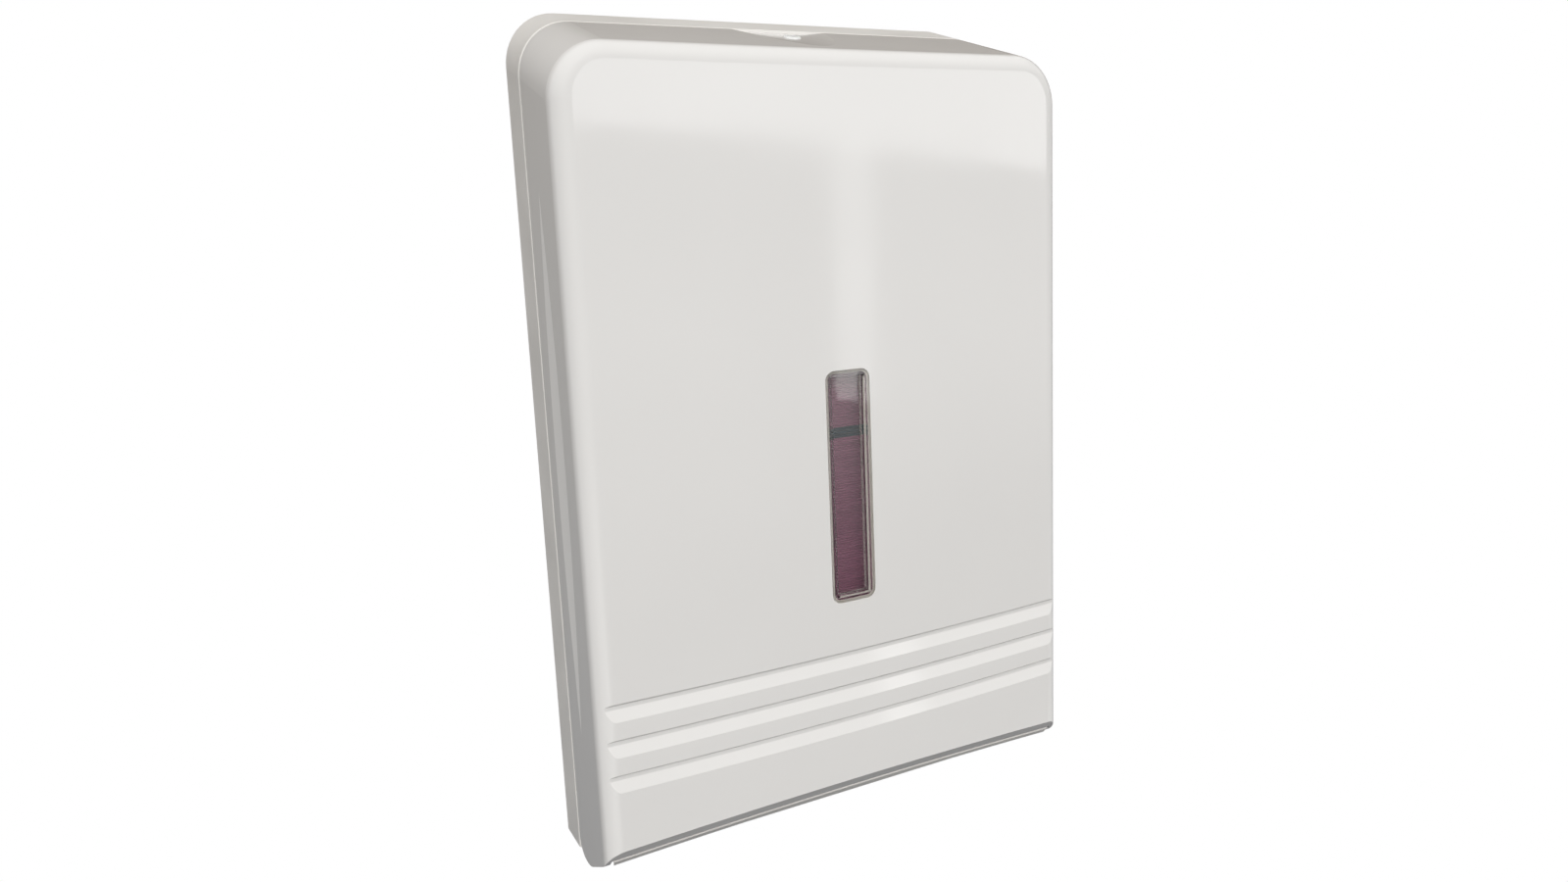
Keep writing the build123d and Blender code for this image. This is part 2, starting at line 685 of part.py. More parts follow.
# Outlet tray: plate with a bowed front edge and a collared slot that the towels are pulled through
with BuildPart() as outlet_tray:
    tray_bow = BOW_RADIUS - TRAY_SETBACK
    tray_shoulder = BOW_CENTRE - sqrt(tray_bow**2 - TRAY_HALF**2)
    with BuildSketch(Plane.XY.offset(TRAY_TOP - TRAY_PLATE)):
        with BuildLine():
            ThreePointArc((-TRAY_HALF, tray_shoulder), (0, TRAY_SETBACK - DEPTH), (TRAY_HALF, tray_shoulder))
            Polyline(
                (TRAY_HALF, tray_shoulder),
                (TRAY_HALF, -REAR_INNER),
                (-TRAY_HALF, -REAR_INNER),
                (-TRAY_HALF, tray_shoulder),
            )
        make_face()
    extrude(amount=TRAY_PLATE)
    lip = [
        (TRAY_SETBACK, FORM_BASE),
        (TRAY_SETBACK + TRAY_LIP, FORM_BASE),
        (TRAY_SETBACK + TRAY_LIP, TRAY_LIP_TOP),
        (TRAY_SETBACK, TRAY_LIP_TOP),
    ]
    add(bowed_bar(lip, TRAY_HALF))
    add(mouth_cut(TRAY_LIP_DROP), mode=Mode.SUBTRACT)
    with BuildSketch(Plane.XY.offset(TRAY_TOP - TRAY_PLATE - SLOT_COLLAR)):
        with Locations((0, SLOT_Y)):
            SlotOverall(SLOT_LENGTH + 2 * SLOT_COLLAR_WALL, SLOT_WIDTH + 2 * SLOT_COLLAR_WALL)
    extrude(amount=SLOT_COLLAR + TRAY_PLATE / 2)
    with BuildSketch(Plane.XY.offset(TRAY_TOP)):
        with Locations((0, SLOT_Y)):
            SlotOverall(SLOT_LENGTH, SLOT_WIDTH)
    extrude(amount=-2 * SLOT_COLLAR, mode=Mode.SUBTRACT)
    add(screw_holes(tray_screw_planes(), 2 * TRAY_PLATE), mode=Mode.SUBTRACT)
outlet_tray.part.label = "outlet_tray"
export_step(outlet_tray.part, "parts/outlet_tray.step")

with BuildPart() as tray_screws:
    add(small_screws(tray_screw_planes(), TRAY_SCREW_LENGTH))
tray_screws.part.label = "tray_screws"
export_step(tray_screws.part, "parts/tray_screws.step")

# Side guides that keep the towel stack in the middle
with BuildSketch() as opening_outline:
    Rectangle(GUIDE_SLOT_WIDTH, GUIDE_SLOT_LENGTH)
    chamfer(opening_outline.vertices(), GUIDE_SLOT_CORNER)
guide_opening = opening_outline.sketch
for name, side in SIDES.items():
    with BuildPart() as towel_guide:
        with BuildSketch(Plane.YZ.offset(side * GUIDE_FACE)):
            with BuildLine():
                Polyline(
                    (-REAR_INNER, GUIDE_LOW),
                    (-REAR_INNER, GUIDE_HIGH),
                    (-GUIDE_DEPTH, GUIDE_HIGH),
                    (-GUIDE_DEPTH, GUIDE_LOW),
                    close=True,
                )
            make_face()
            fillet(vertices().group_by(Axis.X)[0], GUIDE_CORNER)
            with Locations((-(REAR_INNER + GUIDE_DEPTH) / 2, (GUIDE_LOW + GUIDE_HIGH) / 2)):
                with GridLocations(0, GUIDE_SLOT_STEP, 1, 2):
                    add(guide_opening, mode=Mode.SUBTRACT)
        extrude(amount=side * GUIDE_THICK)
        with BuildSketch(Plane.XZ.offset(REAR_INNER)):
            foot_middle = GUIDE_FACE + (GUIDE_THICK + GUIDE_FOOT) / 2
            with Locations((side * foot_middle, (GUIDE_LOW + GUIDE_HIGH) / 2)):
                Rectangle(GUIDE_THICK + GUIDE_FOOT, GUIDE_HIGH - GUIDE_LOW)
        extrude(amount=GUIDE_THICK)
        add(screw_holes(guide_screw_planes(side), 2 * GUIDE_THICK), mode=Mode.SUBTRACT)
    towel_guide.part.label = f"{name}_towel_guide"
    export_step(towel_guide.part, f"parts/{name}_towel_guide.step")

with BuildPart() as guide_screws:
    add(small_screws(guide_screw_planes(-1) + guide_screw_planes(1), GUIDE_SCREW_LENGTH))
guide_screws.part.label = "guide_screws"
export_step(guide_screws.part, "parts/guide_screws.step")

# Hinge bushes in the housing's lugs, and the pins that the cover turns on
for name, side in SIDES.items():
    with BuildPart() as hinge_bush:
        with BuildSketch(Plane.YZ.offset(side * LUG_OUTER)):
            with Locations((HINGE_Y, HINGE_Z)):
                Circle(BUSH_RADIUS)
        extrude(amount=-side * (LUG_OUTER - LUG_INNER))
        with BuildSketch(Plane.YZ.offset(side * LUG_INNER)):
            with Locations((HINGE_Y, HINGE_Z)):
                RegularPolygon(BUSH_COLLAR_RADIUS, SHANK_SIDES)
        extrude(amount=-side * BUSH_COLLAR)
        with BuildSketch(Plane.YZ.offset(side * LUG_OUTER)):
            with Locations((HINGE_Y, HINGE_Z)):
                Circle(PIN_RADIUS + PIN_RUNNING)
        extrude(amount=-side * 2 * (LUG_OUTER - LUG_INNER), mode=Mode.SUBTRACT)
    hinge_bush.part.label = f"{name}_hinge_bush"
    export_step(hinge_bush.part, f"parts/{name}_hinge_bush.step")

    with BuildPart() as hinge_pin:
        with BuildSketch(Plane.YZ.offset(side * PIN_OUTER)):
            with Locations((HINGE_Y, HINGE_Z)):
                Circle(PIN_RADIUS)
        extrude(amount=-side * (PIN_OUTER - PIN_INNER))
        free_end = hinge_pin.edges().filter_by(GeomType.CIRCLE).sort_by(Axis.X)[-1 if side < 0 else 0]
        chamfer(free_end, PIN_CHAMFER)
    hinge_pin.part.label = f"{name}_hinge_pin"
    export_step(hinge_pin.part, f"parts/{name}_hinge_pin.step")

# Lock sleeve: flanged bearing screwed under the cover's pad
with BuildPart() as lock_sleeve:
    with BuildSketch(LOCK_PLANE.offset(SLEEVE_TOP - SLEEVE_FLANGE)):
        Rectangle(SLEEVE_LENGTH, SLEEVE_WIDTH)
        chamfer(vertices(), SLEEVE_CORNER)
    extrude(amount=SLEEVE_FLANGE)
    with BuildSketch(LOCK_PLANE.offset(SLEEVE_BOTTOM)):
        RegularPolygon(SLEEVE_BODY_RADIUS, SHANK_SIDES)
    extrude(amount=SLEEVE_TOP - SLEEVE_BOTTOM)
    with BuildSketch(LOCK_PLANE.offset(SLEEVE_BOTTOM)):
        Circle(BARREL_RADIUS + LOCK_RUNNING)
    extrude(amount=2 * (SLEEVE_TOP - SLEEVE_BOTTOM), mode=Mode.SUBTRACT)
    add(screw_holes(sleeve_screw_planes(), 2 * SLEEVE_FLANGE), mode=Mode.SUBTRACT)
lock_sleeve.part.label = "lock_sleeve"
export_step(lock_sleeve.part, "parts/lock_sleeve.step")

with BuildPart() as sleeve_screws:
    add(small_screws(sleeve_screw_planes(), SLEEVE_SCREW_LENGTH))
sleeve_screws.part.label = "sleeve_screws"
export_step(sleeve_screws.part, "parts/sleeve_screws.step")

# Lock barrel: domed head with a key slot, round body and a square end for the cam
with BuildPart() as lock_barrel:
    with BuildSketch(LOCK_PLANE.offset(CAM_TOP)):
        Circle(BARREL_RADIUS)
    extrude(amount=BARREL_TOP - CAM_TOP)
    chamfer(lock_barrel.edges().filter_by(GeomType.CIRCLE).group_by(LOCK_AXIS)[-1], BARREL_EDGE)
    with BuildSketch(LOCK_PLANE.offset(CAM_BOTTOM)):
        Rectangle(BARREL_SQUARE, BARREL_SQUARE)
    extrude(amount=CAM_TOP - CAM_BOTTOM)
    with BuildSketch(LOCK_PLANE.offset(BARREL_TOP)):
        Rectangle(KEY_SLOT_LENGTH, KEY_SLOT)
    extrude(amount=-2 * KEY_SLOT, mode=Mode.SUBTRACT)
    add(screw_holes([lock_face(0, 0, CAM_BOTTOM, -1)], CAM_PILOT), mode=Mode.SUBTRACT)
lock_barrel.part.label = "lock_barrel"
export_step(lock_barrel.part, "parts/lock_barrel.step")

# Hook cam, stored unlocked with its arm to the right; a quarter turn brings the hook behind the keeper
with BuildPart() as hook_cam:
    with BuildSketch(LOCK_PLANE.offset(CAM_BOTTOM)):
        Circle(CAM_HUB)
        with Locations((CAM_REACH / 2, 0)):
            Rectangle(CAM_REACH, 2 * CAM_ARM)
        with Locations(((CAM_HOOK + CAM_REACH) / 2, (CAM_HOOK_SIDE - CAM_ARM) / 2)):
            Rectangle(CAM_REACH - CAM_HOOK, CAM_HOOK_SIDE + CAM_ARM)
        Rectangle(BARREL_SQUARE, BARREL_SQUARE, mode=Mode.SUBTRACT)
    extrude(amount=CAM_TOP - CAM_BOTTOM)
hook_cam.part.label = "hook_cam"
export_step(hook_cam.part, "parts/hook_cam.step")

with BuildPart() as cam_screw:
    add(small_screws([lock_face(0, 0, CAM_BOTTOM, -1)], CAM_SCREW_LENGTH, CAM_SCREW_HEAD))
cam_screw.part.label = "cam_screw"
export_step(cam_screw.part, "parts/cam_screw.step")

# Keeper: bracket under the housing's top whose post the hook passes behind
with BuildPart() as lock_keeper:
    with BuildSketch(LOCK_PLANE.offset(-WALL - KEEPER_FOOT_THICK)):
        with Locations((POST_MIDDLE_X, (KEEPER_FOOT_NEAR + KEEPER_FOOT_FAR) / 2)):
            Rectangle(2 * KEEPER_FOOT_HALF, KEEPER_FOOT_FAR - KEEPER_FOOT_NEAR)
    extrude(amount=KEEPER_FOOT_THICK)
    with BuildSketch(LOCK_PLANE.offset(KEEPER_LOW)):
        with Locations((POST_MIDDLE_X, (POST_NEAR + POST_FAR) / 2)):
            Rectangle(CAM_HOOK_SIDE - POST_INNER, POST_FAR - POST_NEAR)
    extrude(amount=POST_TOP - KEEPER_LOW)
    add(screw_holes(keeper_screw_planes(), 2 * KEEPER_FOOT_THICK), mode=Mode.SUBTRACT)
lock_keeper.part.label = "lock_keeper"
export_step(lock_keeper.part, "parts/lock_keeper.step")

with BuildPart() as keeper_screws:
    add(small_screws(keeper_screw_planes(), KEEPER_SCREW_LENGTH))
keeper_screws.part.label = "keeper_screws"
export_step(keeper_screws.part, "parts/keeper_screws.step")

# Loaded towels: two stacked clips with a dark divider between them at the window
TOWELS = {
    "lower_towel_clip": (TOWEL_LOW, BAND_LOW),
    "clip_divider": (BAND_LOW, BAND_HIGH),
    "upper_towel_clip": (BAND_HIGH, TOWEL_HIGH),
}
for name, (low, high) in TOWELS.items():
    with BuildPart() as towels:
        with BuildSketch(Plane.XY.offset(low)):
            with Locations((0, (TOWEL_BACK + TOWEL_FRONT) / 2)):
                Rectangle(2 * TOWEL_HALF, TOWEL_BACK - TOWEL_FRONT)
        extrude(amount=high - low)
    towels.part.label = name
    export_step(towels.part, f"parts/{name}.step")
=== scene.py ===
"""Looks of a wall-mounted paper towel dispenser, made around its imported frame."""

import json
import random
from math import pi, radians

import bmesh
import bpy
from bpy.props import FloatProperty, FloatVectorProperty, PointerProperty
from mathutils import Euler, Matrix, Vector


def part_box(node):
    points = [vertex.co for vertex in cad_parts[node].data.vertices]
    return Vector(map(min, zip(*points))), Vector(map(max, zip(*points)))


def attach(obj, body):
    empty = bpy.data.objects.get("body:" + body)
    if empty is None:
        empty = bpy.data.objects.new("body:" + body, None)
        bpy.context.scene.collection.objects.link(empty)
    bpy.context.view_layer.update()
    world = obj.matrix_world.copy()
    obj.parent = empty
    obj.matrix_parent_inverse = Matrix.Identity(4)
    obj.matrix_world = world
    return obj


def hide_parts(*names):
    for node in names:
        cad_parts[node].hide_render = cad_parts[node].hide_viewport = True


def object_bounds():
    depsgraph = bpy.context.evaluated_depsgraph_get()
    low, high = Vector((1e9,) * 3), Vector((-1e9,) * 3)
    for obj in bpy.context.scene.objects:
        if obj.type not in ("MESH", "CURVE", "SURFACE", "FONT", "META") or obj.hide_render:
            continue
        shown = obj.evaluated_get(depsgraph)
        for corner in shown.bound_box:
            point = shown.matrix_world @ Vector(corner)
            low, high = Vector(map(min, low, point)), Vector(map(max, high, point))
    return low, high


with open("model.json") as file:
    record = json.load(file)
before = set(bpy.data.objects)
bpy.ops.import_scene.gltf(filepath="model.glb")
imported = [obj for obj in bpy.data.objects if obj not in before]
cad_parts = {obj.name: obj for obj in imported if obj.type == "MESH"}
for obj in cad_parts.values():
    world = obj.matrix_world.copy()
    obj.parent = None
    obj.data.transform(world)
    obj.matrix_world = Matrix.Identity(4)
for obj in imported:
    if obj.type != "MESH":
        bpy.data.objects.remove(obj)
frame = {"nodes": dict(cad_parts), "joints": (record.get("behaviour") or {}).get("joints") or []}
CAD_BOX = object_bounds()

bl_info = {
    "name": "Paper towel dispenser",
    "version": (1, 0, 0),
    "blender": (4, 5, 0),
    "location": "View3D > Sidebar > Dispenser",
    "description": "Finishes, towels and studio for a wall-mounted paper towel dispenser",
    "category": "Object",
}

NODES = frame["nodes"]
MM = 0.001
SHARP_ANGLE = radians(50)
WHITE = (1, 1, 1, 1)
NYLON = {"roughness": 0.45, "ior": 1.53}

# Folded sheets: the most that one steps from the one below, as a share of the looseness
SHEET_STEP = 0.4

# A sheet's height and the roll of its folds, as shares of a layer
SHEET_HEIGHT = 0.98
FOLD_OFFSET = 0.4

# How far the top sheet's leaf reaches, as a share of the stack's depth
WHOLE_LEAF = 1.0
LOOSE_LEAF = 0.6

# Stretch of the dye's bands, which run level along the sheets
BAND_STRETCH = (0.03, 0.03, 1)

# Pan-head screws, in millimetres
HEAD_RADIUS = 2.8
CAM_HEAD_RADIUS = 4.5
HEAD_HEIGHT = 1.6
SHANK_RADIUS = 1.4
SCREW_SIDES = 24
MERGE_DISTANCE = SHANK_RADIUS / 1000

# The straight part of a shank, as a share of its length
STRAIGHT_SHANK = 0.75

# Outline of a head from the rim of its recess down, and the cross recess, as shares of the radius and the height
HEAD_OUTLINE = ((0.72, 1.0), (0.88, 0.88), (0.97, 0.55), (0.97, 0.1), (0.92, 0))
RECESS_REACH = 0.52
RECESS_SLOT = 0.14
RECESS_TAPER = 0.6
RECESS_DEPTH = 0.6

# The lock's axes, and its place in millimetres
LOCK = next(joint for joint in frame["joints"] if joint["name"] == "lock_turn")
LOCK_PLACE = Vector(LOCK["pos_m"]) / MM
LOCK_AXIS = Vector(LOCK["axis"])
ACROSS = Vector((1, 0, 0))

# Camera, in pixels of the photograph, metres, degrees and, for the sensor, millimetres
PHOTO_WIDTH = 1600
PHOTO_HEIGHT = 900
CAMERA_FOCAL_PIXELS = 1000.0
CAMERA_CENTRE_PIXELS = (786.5, 386.9)
CAMERA_PLACE = (-0.2241, -0.4978, 0.1032)
CAMERA_TURN = (81.383, 2.547, -24.587)
CAMERA_SENSOR = 36
CAMERA_CLIP = (0.01, 50)

# Softboxes: place, aim, width and height in metres
UPPER_SOFTBOX = ((1.02, -2.02, 0.52), (0, -0.09, 0.1), 1.9, 0.4)
UPPER_ROLL = radians(-6.3)
STRIP_SOFTBOX = ((0.84, -1.55, 0.0), (0, -0.09, 0.0), 0.12, 0.56)

# Cards: place, width and height in metres, and lean in degrees
BACK_CARD = ((0.1, 0.35, -0.3), 2.0, 2.2, 90)
LOW_CARD = ((0.5, 0.2, -1.2), 2.0, 1.6, 0)
FRONT_CARD = ((0.9, -1.6, -0.72), 3.0, 1.44, 90)

# Brightness of the front card's foot, as a share of the others'
FRONT_FOOT = 0.4

# Start and end of a card's fade from its middle, as shares of its height
CARD_FADE = (-0.1, 0.48)

# Floor: how far its grey middle reaches in metres, and the least share of white that it shows
FLOOR_MIDDLE = 0.4
FLOOR_WHITE = 0.85

# Light of the world: where each part comes from, and how narrow it is
KEY_LIGHT = (Vector((-0.3, -0.75, 0.59)).normalized(), 10)
RIGHT_LIGHT = (Vector((0.97, 0, 0.24)).normalized(), 2)
LEFT_LIGHT = (Vector((-0.97, 0, 0.24)).normalized(), 2)
BACK_LIGHT = (Vector((0, 1, 0)), 6)


def linear(hex_colour):
    """Linear red, green and blue of an sRGB hex colour."""
    channels = [int(hex_colour[i:i + 2], 16) / 255 for i in (0, 2, 4)]
    return tuple(c / 12.92 if c <= 0.04045 else ((c + 0.055) / 1.055) ** 2.4 for c in channels)


def colour_property(name, description, hex_colour):
    """A colour that shows as a swatch in the panel."""
    return FloatVectorProperty(
        name=name, description=description, subtype="COLOR", size=3, min=0, max=1, default=linear(hex_colour)
    )


def length_property(name, description, millimetres):
    """A length that shows in the scene's units in the panel."""
    return FloatProperty(
        name=name, description=description, subtype="DISTANCE", unit="LENGTH", min=0, default=millimetres * MM
    )


class DispenserFinish(bpy.types.PropertyGroup):
    """Colours of the dispenser's materials."""

    cover: colour_property("Cover", "Glossy white ABS of the front cover", "DEDCD9")
    housing: colour_property("Housing", "Satin white ABS of the housing, tray and guides", "DBD8D3")
    lens: colour_property("Window", "Clear polystyrene of the window", "FBF9F6")
    nylon: colour_property("Nylon", "Natural nylon of the bushes and the lock's sleeve", "D8D3C6")
    barrel: colour_property("Lock barrel", "Light grey acetal of the lock's barrel", "E2E2E0")
    zinc: colour_property("Zinc plating", "Bright zinc on the screws, cam and keeper", "C3C5C6")
    steel: colour_property("Pin steel", "Ground steel of the hinge pins", "B4B5B7")
    towel: colour_property("Towels", "Mauve tissue of the folded towels", "774B63")
    # The divider's dark teal is painted shade: it stands in for the shadowed gap between the two clips of towels
    divider_shade: colour_property("Divider", "Dark teal card between two clips of towels", "162A35")


class DispenserTowels(bpy.types.PropertyGroup):
    """Sizes of the folded towels."""

    thickness: length_property("Thickness", "Height of one folded towel in the stack", 1.3)
    card: length_property("Card", "Height of one layer of the divider", 1.7)
    looseness: length_property("Looseness", "How far a towel's edge may stand back from the stack's face", 0.9)


class DispenserStage(bpy.types.PropertyGroup):
    """Sizes and strengths of the studio."""

    floor_drop: length_property("Floor drop", "Height of the dispenser's lower edge over the floor", 1250)
    floor_size: length_property("Floor size", "Side of the square floor", 2400)
    floor_colour: colour_property("Floor", "Grey of the floor under its white", "7C7C7E")
    card_colour: colour_property("Card", "Warm grey of the cards that only show in gloss", "8A7F72")
    foot_colour: colour_property("Card foot", "Darker grey at the foot of these cards", "585A60")
    ambient: FloatProperty(name="Ambient", description="Strength of the light from everywhere", min=0, default=0.04)
    key: FloatProperty(name="Key", description="Strength of the light from the upper front", min=0, default=5.85)
    fill: FloatProperty(name="Fill", description="Strength of the light from each side", min=0, default=0.34)
    back: FloatProperty(name="Back", description="Strength of the light from behind", min=0, default=2.4)
    upper: FloatProperty(
        name="Upper", description="Power of the wide softbox", subtype="POWER", min=0, default=6
    )
    strip: FloatProperty(
        name="Strip", description="Power of the narrow softbox", subtype="POWER", min=0, default=0.32
    )


def add_node(tree, kind, inputs, **settings):
    """Adds a node with its settings; an input takes a value or another node's output."""
    node = tree.nodes.new(kind)
    for name, value in settings.items():
        setattr(node, name, value)
    for name, value in inputs.items():
        if isinstance(value, bpy.types.NodeSocket):
            tree.links.new(value, node.inputs[name])
        else:
            node.inputs[name].default_value = value
    return node


def noise(tree, place, size_mm, detail, roughness=0.5):
    """Soft spots of a real size."""
    return add_node(
        tree,
        "ShaderNodeTexNoise",
        {"Vector": place, "Scale": 1 / (size_mm * MM), "Detail": detail, "Roughness": roughness},
    ).outputs["Fac"]


def between(tree, value, low, high, start=0.0, end=1.0, **settings):
    """Goes from low to high as a value goes from start to end."""
    return add_node(
        tree,
        "ShaderNodeMapRange",
        {"Value": value, "From Min": start, "From Max": end, "To Min": low, "To Max": high},
        **settings,
    ).outputs["Result"]


def mixed(tree, factor, low, high):
    """Goes from one colour to another as a factor goes from 0 to 1."""
    return add_node(
        tree, "ShaderNodeMix", {"Factor": factor, "A": low, "B": high}, data_type="RGBA"
    ).outputs["Result"]


def calculate(tree, operation, *values):
    """Result of one operation on values and outputs."""
    return add_node(tree, "ShaderNodeMath", dict(enumerate(values)), operation=operation).outputs[0]


def raised(tree, height, height_mm, strength=1.0, below=None):
    """Normal of a relief with a real height, over the normal of another one if there is one below."""
    inputs = {"Height": height, "Strength": strength, "Distance": height_mm * MM}
    if below is not None:
        inputs["Normal"] = below
    return add_node(tree, "ShaderNodeBump", inputs).outputs["Normal"]


def principled(tree, inputs):
    """Output of a Principled shader."""
    return add_node(tree, "ShaderNodeBsdfPrincipled", inputs).outputs["BSDF"]


def new_material(name):
    """An empty node material with its surface, and object coordinates in metres."""
    material = bpy.data.materials.new(name)
    material.use_nodes = True
    tree = material.node_tree
    tree.nodes.clear()
    output = add_node(tree, "ShaderNodeOutputMaterial", {})
    place = add_node(tree, "ShaderNodeTexCoord", {}).outputs["Object"]
    return material, tree, output.inputs["Surface"], place


def shade(colour, factor):
    """A colour made lighter or darker, with an opaque alpha."""
    return (*[min(1, c * factor) for c in colour], 1)


def moulded_abs(name, colour, roughness, peel_mm, peel_height_mm, grain_mm=0, grain_height_mm=0):
    """Injection-moulded ABS. The polished mould leaves a faint orange peel; an eroded one adds a fine grain.

    The real grain is well under a millimetre, and is drawn coarser to show. Handling gives large, very soft patches
    that are a little duller, and the resin's colour drifts slightly.
    """
    material, tree, surface, place = new_material(name)
    drift = noise(tree, place, size_mm=90, detail=2.0)
    handled = noise(tree, place, size_mm=35, detail=4.0)
    normal = raised(tree, noise(tree, place, peel_mm, detail=1.0), peel_height_mm)
    if grain_mm:
        normal = raised(tree, noise(tree, place, grain_mm, detail=2.0), grain_height_mm, below=normal)
    shader = principled(tree, {
        "Base Color": mixed(tree, drift, shade(colour, 0.975), shade(colour, 1.02)),
        "Roughness": between(tree, handled, roughness * 0.8, roughness * 1.35, start=0.3, end=0.75),
        "Normal": normal,
        "IOR": 1.53,
    })
    tree.links.new(shader, surface)
    return material


def clear_styrene(colour):
    """Clear moulded polystyrene: polished and bright, with faint flow marks that bend what is behind."""
    material, tree, surface, place = new_material("clear_styrene")
    flow = noise(tree, place, size_mm=14, detail=1.0)
    shader = principled(tree, {
        "Base Color": (*colour, 1),
        "Roughness": 0.03,
        "IOR": 1.59,
        "Transmission Weight": 1.0,
        "Normal": raised(tree, flow, height_mm=0.03),
    })
    shadow = add_node(tree, "ShaderNodeLightPath", {}).outputs["Is Shadow Ray"]
    through = add_node(tree, "ShaderNodeBsdfTransparent", {"Color": (*colour, 1)})
    pane = add_node(tree, "ShaderNodeMixShader", {0: shadow, 1: shader, 2: through.outputs["BSDF"]})
    tree.links.new(pane.outputs["Shader"], surface)
    return material


def tissue(name, colour, emboss_mm, fibre_mm, band_mm):
    """Creped, dyed tissue: soft and matt, with embossed dots and short paler fibres.

    Sheets of one stack took up the dye unevenly, which bands its sides. The bands are drawn a few sheets high and the
    fibres coarser, to show.
    """
    material, tree, surface, place = new_material(name)
    level = add_node(tree, "ShaderNodeMapping", {"Vector": place, "Scale": BAND_STRETCH})
    bands = noise(tree, level.outputs["Vector"], band_mm, detail=2.0)
    fibres = noise(tree, place, fibre_mm, detail=5.0, roughness=0.7)
    dye = between(tree, calculate(tree, "ADD", fibres, bands), 0.0, 1.0, start=0.6, end=1.4)
    dots = add_node(
        tree,
        "ShaderNodeTexVoronoi",
        {"Vector": place, "Scale": 1 / (emboss_mm * MM), "Randomness": 0.15},
        feature="SMOOTH_F1",
    )
    shader = principled(tree, {
        "Base Color": mixed(tree, dye, shade(colour, 0.8), shade(colour, 1.2)),
        "Roughness": 0.92,
        "Normal": raised(tree, dots.outputs["Distance"], height_mm=0.1, strength=0.5),
        "Sheen Weight": 0.25,
        "Sheen Roughness": 0.5,
    })
    tree.links.new(shader, surface)
    return material


def plain_plastic(name, colour, roughness, ior):
    """Turned or moulded engineering plastic, such as nylon or acetal: waxy, with a soft mottled sheen."""
    material, tree, surface, place = new_material(name)
    mottle = noise(tree, place, size_mm=3, detail=3.0)
    shader = principled(tree, {
        "Base Color": mixed(tree, mottle, shade(colour, 0.94), shade(colour, 1.04)),
        "Roughness": between(tree, mottle, roughness * 0.8, roughness * 1.25),
        "IOR": ior,
    })
    tree.links.new(shader, surface)
    return material


def worked_steel(name, colour, roughness, stretch, line_mm):
    """Zinc-plated or ground steel: fine lines along one direction and a slightly uneven plating.

    The lines are drawn coarser to show.
    """
    material, tree, surface, place = new_material(name)
    along = add_node(tree, "ShaderNodeMapping", {"Vector": place, "Scale": stretch})
    lines = noise(tree, along.outputs["Vector"], line_mm, detail=3.0)
    shader = principled(tree, {
        "Base Color": mixed(tree, lines, shade(colour, 0.86), shade(colour, 1.06)),
        "Metallic": 1.0,
        "Roughness": between(tree, lines, roughness * 0.75, roughness * 1.3),
        "Normal": raised(tree, lines, height_mm=0.02, strength=0.4),
    })
    tree.links.new(shader, surface)
    return material


def link(obj):
    """Puts a new object into the scene."""
    bpy.context.scene.collection.objects.link(obj)
    return obj


def paint(names, material):
    """Gives CAD nodes one material."""
    for name in names:
        mesh = NODES[name].data
        mesh.materials.clear()
        mesh.materials.append(material)


class DISPENSER_OT_cover(bpy.types.Operator):
    """Finish the front cover in glossy white ABS"""

    bl_idname = "dispenser.cover"
    bl_label = "Front cover"

    def execute(self, context):
        colour = context.scene.dispenser_finish.cover
        gloss = moulded_abs("glossy_white_abs", colour, roughness=0.085, peel_mm=9.0, peel_height_mm=0.01)
        paint(["front_cover"], gloss)
        return {"FINISHED"}


class DISPENSER_OT_housing(bpy.types.Operator):
    """Finish the back housing, outlet tray and towel guides in satin white ABS"""

    bl_idname = "dispenser.housing"
    bl_label = "Housing, tray and guides"

    def execute(self, context):
        satin = moulded_abs(
            "satin_white_abs",
            context.scene.dispenser_finish.housing,
            roughness=0.36,
            peel_mm=12.0,
            peel_height_mm=0.008,
            grain_mm=2.6,
            grain_height_mm=0.003,
        )
        paint(["back_housing", "outlet_tray", "left_towel_guide", "right_towel_guide"], satin)
        return {"FINISHED"}


class DISPENSER_OT_window(bpy.types.Operator):
    """Finish the level window in clear polystyrene"""

    bl_idname = "dispenser.window"
    bl_label = "Window"

    def execute(self, context):
        paint(["window_lens"], clear_styrene(context.scene.dispenser_finish.lens))
        return {"FINISHED"}


def add_piece(shape, name, body, node, material):
    """Makes a shape into a piece that rides on a body and stands for a CAD node."""
    mesh = bpy.data.meshes.new(name)
    shape.to_mesh(mesh)
    shape.free()
    mesh.shade_smooth()
    mesh.set_sharp_from_angle(angle=SHARP_ANGLE)
    mesh.materials.append(material)
    piece = link(bpy.data.objects.new(name, mesh))
    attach(piece, body)
    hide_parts(node)


